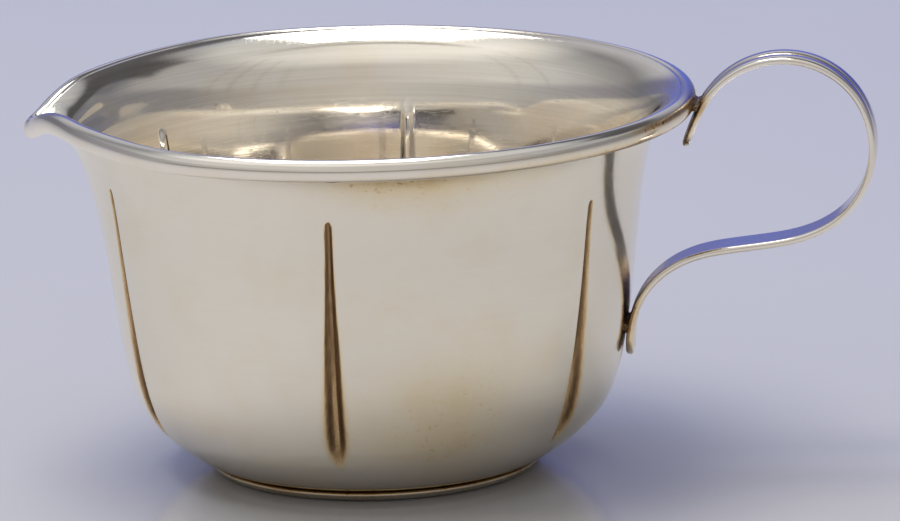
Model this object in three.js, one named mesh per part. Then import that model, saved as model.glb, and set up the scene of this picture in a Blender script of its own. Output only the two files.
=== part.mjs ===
// Small silver creamer: a raised sheet bowl with six creased flutes and a pulled
// lip, a half-round wire round the mouth, a low foot ring and a reeded strap
// handle, all hard-soldered together. Millimetres, +Z up, handle towards +X,
// pouring lip towards -X, standing on z = 0.
import * as THREE from 'three';

// ---------- driving dimensions (mm) ----------
const AXIS_X = -11.252;       // the bowl's axis; the overall box is centred on x = 0
const WALL = 0.9;             // sheet thickness of the bowl
const RIM_Z = 53.06;          // top of the rim wire above the table
const GAP = 0.07;             // clearance left at every soldered face

// outer meridian of the bowl from the centre of its underside to the shoulder
const MERIDIAN = [
  [0, 1.85], [9, 1.68], [16, 1.40], [19.6, 1.32], [22.2, 1.50], [24.0, 2.06],
  [25.7, 3.00], [27.65, 4.36], [29.65, 6.08], [31.42, 8.00], [32.92, 10.50],
  [34.12, 14.0], [35.143, 19.0], [36.049, 25.0], [36.812, 31.0], [37.308, 35.0],
  [37.636, 37.5], [37.894, 39.3], [38.163, 41.0], [38.442, 42.6], [38.713, 44.0],
  [39.000, 45.3], [39.312, 46.5],
];
// the bowl is not quite round: what its two flanks stand in or out from the meridian
const FLANK = [
  0, 0, 0, 0, 0, 0, 0, 0, 0, 0, 0, 0.02, 0.035, 0.057, 0.029, -0.090,
  -0.212, -0.310, -0.384, -0.439, -0.468, -0.484, -0.491,
];
const SHOULDER = MERIDIAN.length - 1;
// the flare between shoulder and edge, as fractions of its width and height
const FLARE_R = [0.093, 0.234, 0.425, 0.677, 1];
const FLARE_Z = [0.234, 0.468, 0.692, 0.881, 1];
const EDGE_IN = 0.75 + GAP;   // the sheet's edge lies this far inside the wire's crest
const EDGE_DOWN = 1.0;        // and its underside this far below the crest

// mouth outline: angle from the lip's axis (deg) -> crest radius, drop of the crest
const MOUTH_A = [0, 3, 6, 10, 15, 21, 28, 36, 46, 58, 72, 90, 130, 180];
const MOUTH_R = [47.16, 46.36, 45.74, 45.06, 44.34, 43.76, 43.60, 43.72, 44.28, 45.36, 45.46, 45.18, 44.75, 44.57];
const MOUTH_DROP = [3.64, 3.01, 2.31, 1.43, 0.60, 0.18, 0.08, 0.02, 0, 0, 0, 0, 0, 0];
const LIP_PULL = 1.5;         // how far the wall below the lip is drawn out
const LIP_WIDTH = 16;         // angular half-width of that pull (deg)

// flutes: azimuths (deg), depth and half-width by height
const FLUTES = [-152.4, -92.95, -31.8, 27.2, 87.2, 147.2];
const FLUTE_Z = [7.2, 9.5, 12, 16, 24.5, 32, 38, 43];
const FLUTE_DEPTH = [0, 0.80, 1.0, 0.94, 0.72, 0.55, 0.46, 0];
const FLUTE_HALF = [0.8, 1.20, 1.40, 1.32, 1.04, 0.72, 0.56, 0.48];

// rim wire: section round the crest, outwards and upwards from it
const WIRE = [
  [-0.75, -0.32], [-0.42, -0.06], [0, 0], [0.55, -0.35], [0.85, -0.95], [0.9, -1.5],
  [0.8, -2.2], [0.5, -2.75], [0.1, -3.0], [-0.45, -3.0], [-0.75, -2.7],
];

// foot ring section (radius, height); its flat underside stands on the table
const FOOT = [
  [19.2, 0], [21.0, 0], [22.2, 0.25], [22.9, 0.68], [23.05, 1.08], [22.9, 1.40],
  [22.2, 1.39], [20.9, 1.26], [19.6, 1.22], [19.0, 0.95], [18.9, 0.4],
];
// fillet of solder in the corner inside the foot ring
const FOOT_SEAM = [[18.82, 0.50], [18.92, 0.97], [19.15, 1.18], [18.0, 1.26], [18.35, 0.86]];

// handle strap: centre line in the plane of the handle (distance from axis, height)
const STRAP = [
  [43.95, 45.12], [45.42, 48.93], [47.0, 51.99], [49.29, 54.57], [52.19, 56.44], [55.47, 57.46],
  [58.91, 57.59], [62.26, 56.8], [65.26, 55.11], [67.66, 52.65], [69.26, 49.6], [69.97, 46.23],
  [69.77, 42.79], [68.68, 39.52], [66.77, 36.66], [64.16, 34.42], [61.08, 32.88], [57.76, 31.96],
  [54.35, 31.41], [50.92, 30.96], [47.51, 30.41], [44.2, 29.43], [41.19, 27.76], [38.71, 25.37],
  [36.97, 22.39], [36.13, 19.05], [36.0, 15.6],
];
const STRAP_STEPS = 58;
const STRAP_HALF = 3.25;      // half the strap's width
const STRAP_TIP = 2.6;        // length of each rounded end
// strap section: share of the half-width, height above the centre line
const STRAP_SECTION = [
  [0.90, -0.55], [1.0, -0.30], [1.0, 0.15], [0.86, 0.45], [0.52, 0.55], [0.18, 0.46],
  [0, 0.25],
  [-0.18, 0.46], [-0.52, 0.55], [-0.86, 0.45], [-1.0, 0.15], [-1.0, -0.30], [-0.90, -0.55],
];

// solder under the handle's two seats, as sections in the plane of the handle
const UPPER_SOLDER = [[45.15, 50.0], [45.60, 50.8], [46.16, 51.9], [45.51, 52.0], [45.55, 51.5], [45.46, 50.83]];
const LOWER_SOLDER = [[35.02, 18.0], [35.40, 18.0], [35.50, 19.2], [35.74, 20.6], [36.0, 21.5], [35.61, 21.6], [35.46, 20.6], [35.25, 19.2]];
const SOLDER_HALF = 2.5;      // half-width of both seats

// ---------- helpers ----------
const deg = Math.PI / 180;

// shape-preserving cubic through the points (xs, ys), level at both ends
function curve(xs, ys) {
  const n = xs.length, h = [], d = [], m = new Array(n).fill(0);
  for (let i = 0; i < n - 1; i++) { h[i] = xs[i + 1] - xs[i]; d[i] = (ys[i + 1] - ys[i]) / h[i]; }
  for (let i = 1; i < n - 1; i++) {
    if (d[i - 1] * d[i] > 0) {
      const a = 2 * h[i] + h[i - 1], b = h[i] + 2 * h[i - 1];
      m[i] = (a + b) / (a / d[i - 1] + b / d[i]);
    }
  }
  return (x) => {
    if (x <= xs[0]) return ys[0];
    if (x >= xs[n - 1]) return ys[n - 1];
    let i = 0;
    while (x > xs[i + 1]) i++;
    const t = (x - xs[i]) / h[i], u = 1 - t;
    return ys[i] * (1 + 2 * t) * u * u + m[i] * h[i] * t * u * u
      + ys[i + 1] * t * t * (3 - 2 * t) - m[i + 1] * h[i] * t * t * u;
  };
}

// one closed body from vertices and triangles, turned so that its faces point out
function body(points, triangles) {
  let volume = 0;
  for (const [a, b, c] of triangles) {
    const [p, q, r] = [points[a], points[b], points[c]];
    volume += p[0] * (q[1] * r[2] - q[2] * r[1]) - p[1] * (q[0] * r[2] - q[2] * r[0])
      + p[2] * (q[0] * r[1] - q[1] * r[0]);
  }
  const index = volume > 0 ? triangles.flat() : triangles.flatMap(([a, b, c]) => [a, c, b]);
  const g = new THREE.BufferGeometry();
  g.setAttribute('position', new THREE.Float32BufferAttribute(points.flat(), 3));
  g.setIndex(index);
  g.computeVertexNormals();
  return g;
}

// a ring: sections[i] is the closed section at station i, the last joined to the first
function ring(sections) {
  const n = sections.length, k = sections[0].length, tris = [];
  for (let i = 0; i < n; i++) {
    const a = i * k, b = ((i + 1) % n) * k;
    for (let j = 0; j < k; j++) {
      const l = (j + 1) % k;
      tris.push([a + j, b + j, b + l], [a + j, b + l, a + l]);
    }
  }
  return body(sections.flat(), tris);
}

// ---------- the bowl's surface ----------
const mouthR = curve(MOUTH_A, MOUTH_R);
const mouthDrop = curve(MOUTH_A, MOUTH_DROP);
const fluteDepth = curve(FLUTE_Z, FLUTE_DEPTH);
const fluteHalf = curve(FLUTE_Z, FLUTE_HALF);

// angle from the lip's axis, 0 to 180 degrees
function fromLip(theta) {
  const a = ((theta - 180) % 360 + 540) % 360 - 180;
  return Math.abs(a);
}

// outer surface in the meridian plane at azimuth theta (deg): [radius, height]
function outer(theta, s) {
  const a = fromLip(theta);
  const lip = Math.exp(-((a / LIP_WIDTH) ** 2));
  const flank = Math.sin(theta * deg) ** 2;
  const rs = MERIDIAN[SHOULDER][0] + FLANK[SHOULDER] * flank + LIP_PULL * lip, zs = MERIDIAN[SHOULDER][1] - 1.0 * lip;
  if (s > SHOULDER) {
    const f = s - SHOULDER - 1;
    const re = mouthR(a) - EDGE_IN, ze = RIM_Z - mouthDrop(a) - EDGE_DOWN;
    return [rs + (re - rs) * FLARE_R[f], zs + (ze - zs) * FLARE_Z[f]];
  }
  let [r, z] = MERIDIAN[s];
  const up = Math.max(0, (z - 30) / (MERIDIAN[SHOULDER][1] - 30));
  r += FLANK[s] * flank + LIP_PULL * lip * up * up;
  z -= 1.0 * lip * up * up;
  for (const f of FLUTES) {
    let da = Math.abs(theta - f) % 360;
    if (da > 180) da = 360 - da;
    if (da > 12) continue;
    const q = (da * deg * r) / fluteHalf(z);
    if (q < 1 && z > FLUTE_Z[0] && z < FLUTE_Z[FLUTE_Z.length - 1]) r -= fluteDepth(z) * (1 - q);
  }
  return [r, z];
}
const LAST = SHOULDER + FLARE_R.length;

// inner surface: one sheet thickness in from the outer one
function inner(theta, s) {
  const [r, z] = outer(theta, s);
  if (s === 0) return [0, z + WALL];
  const [r0, z0] = outer(theta, s - 1), [r1, z1] = outer(theta, Math.min(s + 1, LAST));
  const dr = r1 - r0, dz = z1 - z0, l = Math.hypot(dr, dz);
  return [r - (WALL * dz) / l, z + (WALL * dr) / l];
}

function at(theta, [r, z]) {
  return [AXIS_X + r * Math.cos(theta * deg), r * Math.sin(theta * deg), z];
}

// azimuth stations: close together at the flutes and round the lip
const stations = [];
{
  const sorted = [...FLUTES].sort((p, q) => p - q);
  for (let i = 0; i < sorted.length; i++) {
    const f = sorted[i], next = i + 1 < sorted.length ? sorted[i + 1] : sorted[0] + 360;
    for (const o of [-4.2, -2.3, -1.15, 0, 1.15, 2.3, 4.2]) stations.push(f + o);
    const a = f + 4.2, b = next - 4.2;
    const lip = a < 180 && b > 180;
    if (lip) {
      for (const o of [-24, -20, -16.5, -13, -10, -7.5, -5, -2.5, 0, 2.5, 5, 7.5, 10, 13, 16.5]) stations.push(180 + o);
    } else {
      const n = Math.ceil((b - a) / 9);
      for (let k = 1; k < n; k++) stations.push(a + ((b - a) * k) / n);
    }
  }
  stations.sort((p, q) => p - q);
}

function bowlGeometry() {
  const pts = [], tris = [], n = stations.length, rings = [];
  const addRing = (fn, s) => {
    rings.push(pts.length);
    for (const t of stations) pts.push(at(t, fn(t, s)));
  };
  const pole0 = pts.push(at(0, outer(0, 0))) - 1;
  const pole1 = pts.push(at(0, inner(0, 0))) - 1;
  for (let s = 1; s <= LAST; s++) addRing(outer, s);
  for (let s = LAST; s >= 1; s--) addRing(inner, s);
  for (let i = 0; i < n; i++) {
    const k = (i + 1) % n;
    tris.push([pole0, rings[0] + k, rings[0] + i]);
    for (let j = 0; j + 1 < rings.length; j++) {
      const a = rings[j], b = rings[j + 1];
      tris.push([a + i, a + k, b + k], [a + i, b + k, b + i]);
    }
    const e = rings[rings.length - 1];
    tris.push([pole1, e + i, e + k]);
  }
  return body(pts, tris);
}

// the rim wire follows the mouth's crest
function wireGeometry() {
  return ring(stations.map((t) => {
    const a = fromLip(t), r = mouthR(a), z = RIM_Z - mouthDrop(a);
    return WIRE.map(([dr, dz]) => at(t, [r + dr, z + dz]));
  }));
}

// solder in the corner under the flare, against the wire's inner face
function rimSeamGeometry() {
  return ring(stations.map((t) => {
    const a = fromLip(t), r = mouthR(a) - EDGE_IN, z = RIM_Z - mouthDrop(a);
    const [r1, z1] = outer(t, LAST), [r0, z0] = outer(t, LAST - 1);
    const f = Math.min(0.85, 0.9 / (r1 - r0));           // how far in the fillet reaches
    const rc = r1 - (r1 - r0) * f, zc = z1 - (z1 - z0) * f - 2 * GAP;
    return [[r, z1 - 1.4 * GAP], [r, z - 2.1], [r - 0.35, z - 1.75], [rc, zc]]
      .map((p) => at(t, p));
  }));
}

// the strap: its section carried along the centre line, narrowing at both ends
function strapGeometry() {
  const line = new THREE.CatmullRomCurve3(STRAP.map(([u, z]) => new THREE.Vector3(AXIS_X + u, 0, z)), false, 'centripetal');
  line.arcLengthDivisions = 1200;
  const length = line.getLength();
  const marks = [0, 0.25, 0.9, 1.7];
  for (let i = 0; i <= STRAP_STEPS; i++) marks.push(STRAP_TIP + ((length - 2 * STRAP_TIP) * i) / STRAP_STEPS);
  marks.push(length - 1.7, length - 0.9, length - 0.25, length);
  const pts = [], tris = [], k = STRAP_SECTION.length;
  for (const m of marks) {
    const u = Math.min(1, Math.max(0, m / length));
    const p = line.getPointAt(u), t = line.getTangentAt(u);
    const e = Math.min(m, length - m, STRAP_TIP) / STRAP_TIP;
    const half = STRAP_HALF * Math.max(0.28, Math.sqrt(1 - (1 - e) ** 2));
    for (const [w, h] of STRAP_SECTION) {
      pts.push([p.x - t.z * h, w * half, p.z + t.x * h]);
    }
  }
  for (let i = 0; i + 1 < marks.length; i++) {
    for (let j = 0; j < k; j++) {
      const l = (j + 1) % k, a = i * k, b = a + k;
      tris.push([a + j, a + l, b + l], [a + j, b + l, b + j]);
    }
  }
  // end faces, as strips across the section
  for (const [base, flip] of [[0, false], [(marks.length - 1) * k, true]]) {
    let lo = 0, hi = k - 1;
    while (hi - lo > 1) {
      const t1 = [base + lo, base + hi, base + lo + 1];
      tris.push(flip ? [t1[0], t1[2], t1[1]] : t1);
      lo++;
      if (hi - lo > 1) {
        const t2 = [base + lo, base + hi, base + hi - 1];
        tris.push(flip ? [t2[0], t2[2], t2[1]] : t2);
        hi--;
      }
    }
  }
  return body(pts, tris);
}

// a flat-sided pad of solder: its section in the plane of the handle, given a width
function padGeometry(section) {
  const shape = new THREE.Shape(section.map(([u, z]) => new THREE.Vector2(AXIS_X + u, z)));
  const g = new THREE.ExtrudeGeometry(shape, { depth: 2 * SOLDER_HALF, bevelEnabled: false });
  g.rotateX(Math.PI / 2);
  g.translate(0, SOLDER_HALF, 0);
  return g;
}

// turned rings: closed sections swept once round the axis
function turned(section, segments) {
  const closed = [...section, section[0]].map(([r, z]) => new THREE.Vector2(r, z));
  const g = new THREE.LatheGeometry(closed, segments);
  g.rotateX(Math.PI / 2);
  g.translate(AXIS_X, 0, 0);
  return g;
}

// ---------- finishes ----------
const silver = (color, roughness) => new THREE.MeshStandardMaterial({ color, roughness, metalness: 1 });
const polished = silver(0xcfcac0, 0.16);
const wireSilver = silver(0xd6d2ca, 0.12);
const footSilver = silver(0xb9b4aa, 0.25);
const strapSilver = silver(0xd2cdc4, 0.14);
const solder = silver(0x8d8070, 0.4);

// ---------- assembly ----------
const creamer = new THREE.Group();
function add(name, geometry, material) {
  const mesh = new THREE.Mesh(geometry, material);
  mesh.name = name;
  creamer.add(mesh);
}
add('bowl', bowlGeometry(), polished);
add('rim_wire', wireGeometry(), wireSilver);
add('rim_solder_seam', rimSeamGeometry(), solder);
add('foot_ring', turned(FOOT, 48), footSilver);
add('foot_solder_seam', turned(FOOT_SEAM, 48), solder);
add('handle', strapGeometry(), strapSilver);
add('handle_upper_solder', padGeometry(UPPER_SOLDER), solder);
add('handle_lower_solder', padGeometry(LOWER_SOLDER), solder);

export default creamer;
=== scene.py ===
"""Small silver creamer: fine surfaces, finishes, floor, light and camera.

Lengths in the tables are millimetres in the part's frame: +Z up, the handle
towards +X, the pouring lip towards -X, standing on z = 0.
"""
import math

import bpy
import numpy as np
from mathutils import Matrix, Vector


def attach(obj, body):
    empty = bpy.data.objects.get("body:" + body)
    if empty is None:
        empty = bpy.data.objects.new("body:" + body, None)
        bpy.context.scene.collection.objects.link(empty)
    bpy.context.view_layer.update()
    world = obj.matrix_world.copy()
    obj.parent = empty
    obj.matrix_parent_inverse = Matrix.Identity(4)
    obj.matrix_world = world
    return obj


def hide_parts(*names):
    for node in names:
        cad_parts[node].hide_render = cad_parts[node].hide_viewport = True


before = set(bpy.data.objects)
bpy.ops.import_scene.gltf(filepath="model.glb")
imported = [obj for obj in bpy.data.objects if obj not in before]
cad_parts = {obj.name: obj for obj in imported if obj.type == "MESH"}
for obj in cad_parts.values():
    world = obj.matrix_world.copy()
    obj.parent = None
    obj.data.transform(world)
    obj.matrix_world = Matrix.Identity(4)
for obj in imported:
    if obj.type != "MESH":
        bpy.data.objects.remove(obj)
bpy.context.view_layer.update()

MM = 0.001

# ---------- the same driving dimensions as the solids ----------
AXIS_X = -11.252
WALL = 0.9
RIM_Z = 53.06
MERIDIAN = np.array([
    [0, 1.85], [9, 1.68], [16, 1.40], [19.6, 1.32], [22.2, 1.50], [24.0, 2.06],
    [25.7, 3.00], [27.65, 4.36], [29.65, 6.08], [31.42, 8.00], [32.92, 10.50],
    [34.12, 14.0], [35.143, 19.0], [36.049, 25.0], [36.812, 31.0], [37.308, 35.0],
    [37.636, 37.5], [37.894, 39.3], [38.163, 41.0], [38.442, 42.6], [38.713, 44.0],
    [39.000, 45.3], [39.312, 46.5],
])
# the bowl is not quite round: what its two flanks stand in or out from the meridian
FLANK = np.array([0, 0, 0, 0, 0, 0, 0, 0, 0, 0, 0, 0.02, 0.035, 0.057, 0.029, -0.090,
                  -0.212, -0.310, -0.384, -0.439, -0.468, -0.484, -0.491])
BELLY = 0.2                     # and its belly leans a little towards the handle
FLARE_R = np.array([0.093, 0.234, 0.425, 0.677, 1.0])
FLARE_Z = np.array([0.234, 0.468, 0.692, 0.881, 1.0])
LIP_FLARE_R = np.array([0.205, 0.30, 0.43, 0.695, 1.0])         # the same at the lip, bent more sharply
LIP_FLARE_Z = np.array([0.28, 0.555, 0.755, 0.895, 1.0])
EDGE_IN = 0.82
EDGE_DOWN = 1.0
MOUTH_A = [0, 3, 6, 10, 15, 21, 28, 36, 46, 58, 72, 90, 130, 180]
MOUTH_R = [47.16, 46.36, 45.74, 45.06, 44.34, 43.76, 43.60, 43.72, 44.28, 45.36, 45.46, 45.18, 44.75, 44.57]
MOUTH_DROP = [3.64, 3.01, 2.31, 1.43, 0.60, 0.18, 0.08, 0.02, 0, 0, 0, 0, 0, 0]
LIP_PULL = 1.5
LIP_WIDTH = 16.0
FLUTES = [-152.4, -92.95, -31.8, 27.2, 87.2, 147.2]
FLUTE_LEAN = [2.2, 0.6, 0.0, 0.6, 0.0, -0.5]       # degrees, foot to shoulder
FLUTE_TOP = [0.3, 0.0, -1.0, -0.2, 0.0, -0.4]   # each flute was struck to its own height
FLUTE_Z = [7.2, 8.0, 9.5, 12.0, 16.0, 20.0, 24.5, 32.0, 38.0, 41.5, 42.4, 42.72, 42.9, 43.0]
FLUTE_DEPTH = [0.0, 0.42, 0.80, 1.0, 0.94, 0.83, 0.72, 0.55, 0.46, 0.40, 0.30, 0.19, 0.09, 0.0]
FLUTE_HALF = [0.34, 0.80, 1.20, 1.40, 1.32, 1.18, 1.04, 0.72, 0.56, 0.50, 0.46, 0.37, 0.25, 0.07]
# tarnish across a flute, from its valley (0) to its lip (1) and past it
TONE_AT = [0.0, 0.2, 0.4, 0.6, 0.8, 0.95, 1.1, 1.35, 1.8]
TONE_OPEN = [0.71, 0.71, 0.72, 0.76, 0.92, 0.80, 0.10, 0.03, 0.0]      # rubbed bright inside, dark lips
TONE_SHUT = [0.97, 0.92, 0.80, 0.62, 0.46, 0.34, 0.08, 0.02, 0.0]      # dark in the valley
TONE_LOW = [0.45, 0.50, 0.78, 1.0, 0.72, 0.48, 0.28, 0.10, 0.0]         # both walls dark, valley rubbed
STRAP = np.array([
    [43.95, 45.12], [45.42, 48.93], [47.0, 51.99], [49.29, 54.57], [52.19, 56.44], [55.47, 57.46],
    [58.91, 57.59], [62.26, 56.8], [65.26, 55.11], [67.66, 52.65], [69.26, 49.6], [69.97, 46.23],
    [69.77, 42.79], [68.68, 39.52], [66.77, 36.66], [64.16, 34.42], [61.08, 32.88], [57.76, 31.96],
    [54.35, 31.41], [50.92, 30.96], [47.51, 30.41], [44.2, 29.43], [41.19, 27.76], [38.71, 25.37],
    [36.97, 22.39], [36.13, 19.05], [36.0, 15.6],
])
STRAP_HALF = 3.25
STRAP_TIP = 2.6

rng = np.random.default_rng(41)


# ---------- curves ----------
def spline_weights(t, x):
    """Weights of a natural cubic spline with knots t, evaluated at x."""
    t, x = np.asarray(t, float), np.asarray(x, float)
    n, h = len(t), np.diff(t)
    A, B = np.zeros((n, n)), np.zeros((n, n))
    A[0, 0] = A[-1, -1] = 1
    for i in range(1, n - 1):
        A[i, i - 1], A[i, i], A[i, i + 1] = h[i - 1], 2 * (h[i - 1] + h[i]), h[i]
        B[i, i - 1], B[i, i], B[i, i + 1] = 6 / h[i - 1], -6 / h[i - 1] - 6 / h[i], 6 / h[i]
    M = np.linalg.solve(A, B)
    k = np.clip(np.searchsorted(t, x, side="right") - 1, 0, n - 2)
    a, b = (t[k + 1] - x) / h[k], (x - t[k]) / h[k]
    W, rows = np.zeros((len(x), n)), np.arange(len(x))
    W[rows, k] += a
    W[rows, k + 1] += b
    hh = h[k] ** 2 / 6
    return W + ((a ** 3 - a) * hh)[:, None] * M[k] + ((b ** 3 - b) * hh)[:, None] * M[k + 1]


def even_spline(a, y):
    """A smooth even function of an angle, through values y at angles a from 0 to 180."""
    a, y = np.asarray(a, float), np.asarray(y, float)
    knots = np.concatenate([-a[5:0:-1], a, 360 - a[-2:-6:-1]])
    values = np.concatenate([y[5:0:-1], y, y[-2:-6:-1]])
    return lambda x: spline_weights(knots, x) @ values


def steady(xs, ys):
    """A cubic through the points that never overshoots, level at both ends."""
    xs, ys = np.asarray(xs, float), np.asarray(ys, float)
    h, n = np.diff(xs), len(xs)
    d, m = np.diff(ys) / h, np.zeros(n)
    for i in range(1, n - 1):
        if d[i - 1] * d[i] > 0:
            a, b = 2 * h[i] + h[i - 1], h[i] + 2 * h[i - 1]
            m[i] = (a + b) / (a / d[i - 1] + b / d[i])

    def at(x):
        x = np.clip(x, xs[0], xs[-1])
        i = np.clip(np.searchsorted(xs, x, side="right") - 1, 0, n - 2)
        t = (x - xs[i]) / h[i]
        u = 1 - t
        return (ys[i] * (1 + 2 * t) * u * u + m[i] * h[i] * t * u * u
                + ys[i + 1] * t * t * (3 - 2 * t) - m[i + 1] * h[i] * t * t * u)
    return at


def spaced(lo, hi, step):
    """Values from lo to hi whose spacing follows step(x)."""
    x = np.linspace(lo, hi, 40001)
    inv = 1 / step(x)
    n = np.concatenate([[0], np.cumsum(0.5 * (inv[1:] + inv[:-1]) * np.diff(x))])
    return np.interp(np.linspace(0, n[-1], max(2, round(n[-1])) + 1), n, x)


def soft_ramp(u, b):
    """u cut to 0..1, with both corners rounded over a half-width b."""
    low = np.where(u < -b, 0.0, np.where(u < b, (u + b) ** 2 / (4 * b), u))
    return np.where(u > 1 + b, 1.0, np.where(u > 1 - b, 1 - (1 + b - u) ** 2 / (4 * b), low))


def bell(x, width):
    return np.exp(-(x / width) ** 2)


def smooth(x, a, b):
    t = np.clip((x - a) / (b - a), 0, 1)
    return t * t * (3 - 2 * t)


def turn(a):
    """An angle brought into -180..180."""
    return (np.asarray(a, float) + 180) % 360 - 180


def ripple(x, seed, octaves=((3, 1.0), (7, 0.6), (17, 0.35), (41, 0.2))):
    """A fixed, gently uneven function round the circle, about -1..1."""
    r = np.random.default_rng(seed)
    total = np.zeros_like(np.asarray(x, float))
    for k, w in octaves:
        total += w * np.sin(np.radians(x) * k + r.uniform(0, 2 * math.pi))
    return total / 2.15


# ---------- the bowl's sheet ----------
mouth_r = even_spline(MOUTH_A, MOUTH_R)
drop_raw = even_spline(MOUTH_A, MOUTH_DROP)
flute_depth = steady(FLUTE_Z, FLUTE_DEPTH)
flute_half = steady(FLUTE_Z, FLUTE_HALF)


def mouth_drop(a):
    return np.maximum(drop_raw(a), 0.0) * smooth(-np.asarray(a, float), -60, -40)


def from_lip(th):
    return np.abs(turn(np.asarray(th, float) - 180))


def sheet_controls(th):
    a = from_lip(th)
    lip = bell(a, LIP_WIDTH)[:, None]
    up = np.maximum(0, (MERIDIAN[:, 1] - 30) / (MERIDIAN[-1, 1] - 30))[None, :] ** 2
    c = np.cos(np.radians(th))[:, None]
    lean = BELLY * smooth(MERIDIAN[:, 1], 4, 12) * smooth(-MERIDIAN[:, 1], -42, -22)
    r = MERIDIAN[None, :, 0] + FLANK * (1 - c * c) + lean * c + LIP_PULL * lip * up
    z = MERIDIAN[None, :, 1] - lip * up
    re = (mouth_r(a) - EDGE_IN)[:, None]
    ze = (RIM_Z - mouth_drop(a) - EDGE_DOWN)[:, None]
    fold = smooth(-a, -22, -13)[:, None]
    r = np.concatenate([r, r[:, -1:] + (re - r[:, -1:]) * (FLARE_R + fold * (LIP_FLARE_R - FLARE_R))], 1)
    z = np.concatenate([z, z[:, -1:] + (ze - z[:, -1:]) * (FLARE_Z + fold * (LIP_FLARE_Z - FLARE_Z))], 1)
    # mirrored across the axis, so that the underside is smooth at its centre
    return np.concatenate([-r[:, 2:0:-1], r], 1), np.concatenate([z[:, 2:0:-1], z], 1)


_r0, _z0 = sheet_controls(np.array([90.0]))
KNOTS = np.concatenate([[0], np.cumsum(np.hypot(np.diff(_r0[0]), np.diff(_z0[0])))])
KNOTS -= KNOTS[2]
T_END = KNOTS[-1]
T_AT_Z = lambda z: np.interp(z, MERIDIAN[4:, 1], KNOTS[6:6 + len(MERIDIAN) - 4])


def sheet(th, t):
    """Outer surface without flutes: radius, height and unit tangent, for every th and t."""
    rc, zc = sheet_controls(th)
    W = spline_weights(KNOTS, t)
    lo, hi = np.maximum(t - 0.02, KNOTS[0]), np.minimum(t + 0.02, T_END)
    D = spline_weights(KNOTS, hi) - spline_weights(KNOTS, lo)
    r, z, dr, dz = rc @ W.T, zc @ W.T, rc @ D.T, zc @ D.T
    length = np.hypot(dr, dz)
    return r, z, dr / length, dz / length


def flute_field(th, r, z, widen=0.0, floor=0.18, soft=0.15, power=1.0):
    """Depth of the flutes, and how dark they have gone, at every point."""
    depth = np.zeros_like(r)
    tone = np.zeros_like(r)
    for i, f in enumerate(FLUTES):
        near = np.abs(turn(th - f)) < 14
        if not near.any():
            continue
        zn = z[near]
        zf = zn - FLUTE_TOP[i] * smooth(zn, 12, 43)
        live = (zf > FLUTE_Z[0]) & (zf < FLUTE_Z[-1])
        mid = f + FLUTE_LEAN[i] * (zn - 25) / 36
        arc = np.radians(np.abs(turn(th[near][:, None] - mid))) * r[near]
        q = arc / (flute_half(zf) + widen)
        p = soft_ramp((1 - q) / (1 - floor), soft) ** power
        depth[near] = np.maximum(depth[near], np.where(live, flute_depth(zf) * p, 0))
        # the tarnish runs a little past the lower end
        qt = arc / np.maximum(flute_half(zf), (0.55 + 0.30 * smooth(zf, 5.0, 9.5)) * (zf < 11))
        upper = np.interp(qt, TONE_AT, TONE_OPEN if i in (1, 4) else TONE_SHUT)
        lower = np.interp(qt, TONE_AT, TONE_LOW)
        even = np.interp(qt, [0, 0.5, 1.0, 1.5], [0.62, 0.52, 0.26, 0.0])
        lower += (even - lower) * smooth(-zf, -11.0, -8.2)
        k = smooth(zf, 15.0, 25.0)
        ends = smooth(zf, 5.9, 8.6) * smooth(-zf, -43.1, -42.9)
        tone[near] = np.maximum(tone[near], (k * upper + (1 - k) * lower) * ends)
    return depth, tone


def polar(th, r, z):
    c, s = np.cos(np.radians(th)), np.sin(np.radians(th))
    return np.stack([AXIS_X + r * c, r * s, z + 0 * r], -1)


# ---------- meshes ----------
def add_piece(name, node, verts, faces, uvs, material, attrs=None):
    me = bpy.data.meshes.new(name)
    me.from_pydata((np.asarray(verts) * MM).tolist(), [], faces)
    me.polygons.foreach_set("use_smooth", np.ones(len(me.polygons), bool))
    layer = me.uv_layers.new(name="OFBake")
    layer.uv.foreach_set("vector", np.asarray(uvs, np.float32).ravel())
    for key, values in (attrs or {}).items():
        a = me.attributes.new(key, "FLOAT", "POINT")
        a.data.foreach_set("value", np.asarray(values, np.float32).ravel())
    me.materials.append(material)
    me.validate()
    me.update()
    o = bpy.data.objects.new(name, me)
    bpy.context.scene.collection.objects.link(o)
    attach(o, "root")
    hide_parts(node)
    return o


def ring_faces(n, k, v=None, closed=True):
    """Quads of n stations round a ring, each with k points of a section, and their UVs."""
    v = np.linspace(0, 1, k + 1) if v is None else v
    faces, uvs = [], []
    for i in range(n):
        a, b = i * k, ((i + 1) % n) * k
        u0, u1 = i / n, (i + 1) / n
        for j in range(k if closed else k - 1):
            l = (j + 1) % k
            faces.append((a + j, b + j, b + l, a + l))
            uvs += [(u0, v[j]), (u1, v[j]), (u1, v[j + 1]), (u0, v[j + 1])]
    return faces, uvs


def azimuth_step(th):
    s = np.full_like(th, 1.7)
    for f in FLUTES:
        s = np.minimum(s, 0.24 + 0.22 * np.maximum(0, np.abs(turn(th - f)) - 2.7))
    return np.minimum(s, 0.62 + 0.05 * np.maximum(0, from_lip(th) - 14))


STATIONS = spaced(-180, 180, azimuth_step)[:-1]
N = len(STATIONS)


def outer_step(t):
    s = np.full_like(t, 0.85)
    s = np.where(t < T_AT_Z(12.0), 0.62, s)
    s = np.where(t < 18, 1.7, s)
    s = np.where((t > T_AT_Z(38.5)) & (t < T_AT_Z(41.2)), 0.5, s)
    s = np.where((t > T_AT_Z(41.2)) & (t < T_AT_Z(43.5)), 0.16, s)
    return np.where(t > T_AT_Z(45.5), 0.34, s)


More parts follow.
